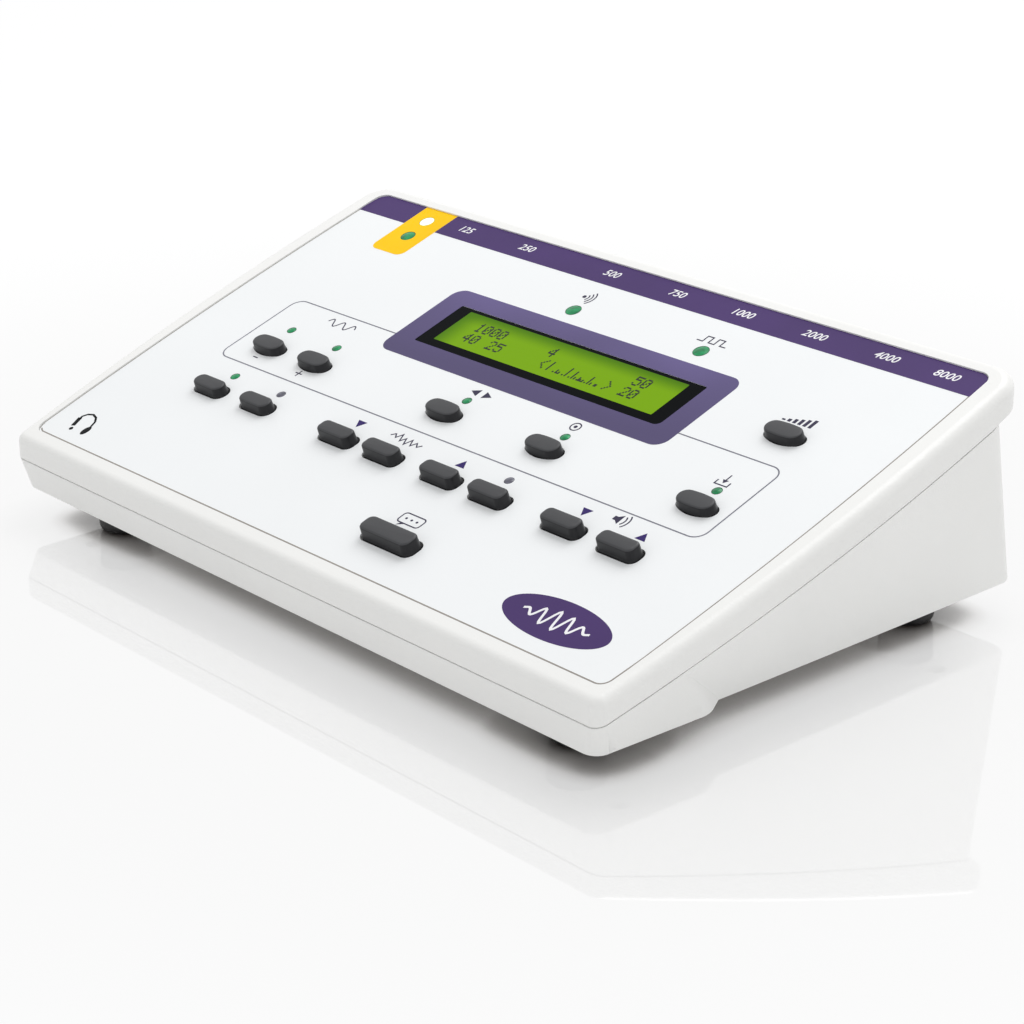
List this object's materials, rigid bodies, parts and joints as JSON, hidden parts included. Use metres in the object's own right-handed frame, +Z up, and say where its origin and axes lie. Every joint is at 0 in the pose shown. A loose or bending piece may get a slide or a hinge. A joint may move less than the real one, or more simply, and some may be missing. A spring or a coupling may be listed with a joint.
{
  "type": "desktop audiometer",
  "caption": "Wedge-shaped desktop hearing tester with a sloping key deck, character display, indicator lamps, rubber feet and a recessed row of rear sockets.",
  "frame": {"origin": "middle of the footprint, in the plane of the feet", "axes": "+X to the operator's right, +Y to the rear, +Z up"},
  "size_m": [0.2802, 0.1722, 0.0805],
  "materials": {
    "case_white": "fine textured moulding, satin",
    "printed_sheet": "smooth satin printed sheet",
    "window_clear": "clear, polished",
    "display_black": "satin black",
    "display_glass": "smooth",
    "display_light": "smooth diffuser",
    "key_plastic": "satin",
    "plunger_plastic": "smooth",
    "lamp_green": "tinted, polished",
    "lamp_grey": "clear, unlit",
    "lamp_lit": "lit",
    "circuit_board": "solder mask",
    "connector_black": "satin",
    "connector_shell": "plated",
    "nickel_plate": "nickel plated",
    "plated_steel": "zinc plated",
    "ribbon_grey": "smooth",
    "chip_black": "matt moulding compound",
    "capacitor_can": "sleeved can",
    "foot_rubber": "matt"
  },
  "bodies": {
    "root": {"top_shell": "case_white", "base_shell": "case_white", "fascia_overlay": "printed_sheet", "display_window": "window_clear", "lcd_frame": "display_black", "lcd_glass": "display_glass", "lcd_backlight": "display_light", "lcd_board": "circuit_board", "lcd_header": "connector_black", "switch_housings": "connector_black", "green_lamps": "lamp_green", "grey_lamps": "lamp_grey", "large_lamps": "lamp_green", "power_lamp": "lamp_lit", "key_board": "circuit_board", "io_board": "circuit_board", "board_screws": "plated_steel", "case_screws": "plated_steel", "jack_sockets": "connector_black", "jack_nuts": "nickel_plate", "data_port": "connector_shell", "power_inlet": "connector_black", "ribbon_cable": "ribbon_grey", "ribbon_sockets": "connector_black", "processor_chip": "chip_black", "amplifier_chips": "chip_black", "capacitors": "capacitor_can", "rubber_feet": "foot_rubber"},
    "frequency_down_key": {"key_frequency_down": "key_plastic", "plunger_frequency_down": "plunger_plastic"},
    "frequency_up_key": {"key_frequency_up": "key_plastic", "plunger_frequency_up": "plunger_plastic"},
    "channel_key": {"key_channel": "key_plastic", "plunger_channel": "plunger_plastic"},
    "response_key": {"key_response": "key_plastic", "plunger_response": "plunger_plastic"},
    "store_key": {"key_store": "key_plastic", "plunger_store": "plunger_plastic"},
    "level_key": {"key_level": "key_plastic", "plunger_level": "plunger_plastic"},
    "tone_left_key": {"key_tone_left": "key_plastic", "plunger_tone_left": "plunger_plastic"},
    "tone_right_key": {"key_tone_right": "key_plastic", "plunger_tone_right": "plunger_plastic"},
    "masking_down_key": {"key_masking_down": "key_plastic", "plunger_masking_down": "plunger_plastic"},
    "masking_down_fast_key": {"key_masking_down_fast": "key_plastic", "plunger_masking_down_fast": "plunger_plastic"},
    "masking_up_key": {"key_masking_up": "key_plastic", "plunger_masking_up": "plunger_plastic"},
    "masking_up_fast_key": {"key_masking_up_fast": "key_plastic", "plunger_masking_up_fast": "plunger_plastic"},
    "talk_down_key": {"key_talk_down": "key_plastic", "plunger_talk_down": "plunger_plastic"},
    "talk_up_key": {"key_talk_up": "key_plastic", "plunger_talk_up": "plunger_plastic"},
    "speech_key": {"key_speech": "key_plastic", "plunger_speech": "plunger_plastic"}
  },
  "joints": [
    {"name": "frequency_down_press", "type": "slide", "parent": "root", "child": "frequency_down_key", "axis": [0, 0.3272, -0.9449], "range_m": [0, 0.0008], "stiffness_N_per_m": 1500, "springref_m": -0.0005},
    {"name": "frequency_up_press", "type": "slide", "parent": "root", "child": "frequency_up_key", "axis": [0, 0.3272, -0.9449], "range_m": [0, 0.0008], "stiffness_N_per_m": 1500, "springref_m": -0.0005},
    {"name": "channel_press", "type": "slide", "parent": "root", "child": "channel_key", "axis": [0, 0.3272, -0.9449], "range_m": [0, 0.0008], "stiffness_N_per_m": 1500, "springref_m": -0.0005},
    {"name": "response_press", "type": "slide", "parent": "root", "child": "response_key", "axis": [0, 0.3272, -0.9449], "range_m": [0, 0.0008], "stiffness_N_per_m": 1500, "springref_m": -0.0005},
    {"name": "store_press", "type": "slide", "parent": "root", "child": "store_key", "axis": [0, 0.3272, -0.9449], "range_m": [0, 0.0008], "stiffness_N_per_m": 1500, "springref_m": -0.0005},
    {"name": "level_press", "type": "slide", "parent": "root", "child": "level_key", "axis": [0, 0.3272, -0.9449], "range_m": [0, 0.0008], "stiffness_N_per_m": 1500, "springref_m": -0.0005},
    {"name": "tone_left_press", "type": "slide", "parent": "root", "child": "tone_left_key", "axis": [0, 0.3272, -0.9449], "range_m": [0, 0.0008], "stiffness_N_per_m": 1500, "springref_m": -0.0005},
    {"name": "tone_right_press", "type": "slide", "parent": "root", "child": "tone_right_key", "axis": [0, 0.3272, -0.9449], "range_m": [0, 0.0008], "stiffness_N_per_m": 1500, "springref_m": -0.0005},
    {"name": "masking_down_press", "type": "slide", "parent": "root", "child": "masking_down_key", "axis": [0, 0.3272, -0.9449], "range_m": [0, 0.0008], "stiffness_N_per_m": 1500, "springref_m": -0.0005},
    {"name": "masking_down_fast_press", "type": "slide", "parent": "root", "child": "masking_down_fast_key", "axis": [0, 0.3272, -0.9449], "range_m": [0, 0.0008], "stiffness_N_per_m": 1500, "springref_m": -0.0005},
    {"name": "masking_up_press", "type": "slide", "parent": "root", "child": "masking_up_key", "axis": [0, 0.3272, -0.9449], "range_m": [0, 0.0008], "stiffness_N_per_m": 1500, "springref_m": -0.0005},
    {"name": "masking_up_fast_press", "type": "slide", "parent": "root", "child": "masking_up_fast_key", "axis": [0, 0.3272, -0.9449], "range_m": [0, 0.0008], "stiffness_N_per_m": 1500, "springref_m": -0.0005},
    {"name": "talk_down_press", "type": "slide", "parent": "root", "child": "talk_down_key", "axis": [0, 0.3272, -0.9449], "range_m": [0, 0.0008], "stiffness_N_per_m": 1500, "springref_m": -0.0005},
    {"name": "talk_up_press", "type": "slide", "parent": "root", "child": "talk_up_key", "axis": [0, 0.3272, -0.9449], "range_m": [0, 0.0008], "stiffness_N_per_m": 1500, "springref_m": -0.0005},
    {"name": "speech_press", "type": "slide", "parent": "root", "child": "speech_key", "axis": [0, 0.3272, -0.9449], "range_m": [0, 0.0008], "stiffness_N_per_m": 1500, "springref_m": -0.0005}
  ]
}
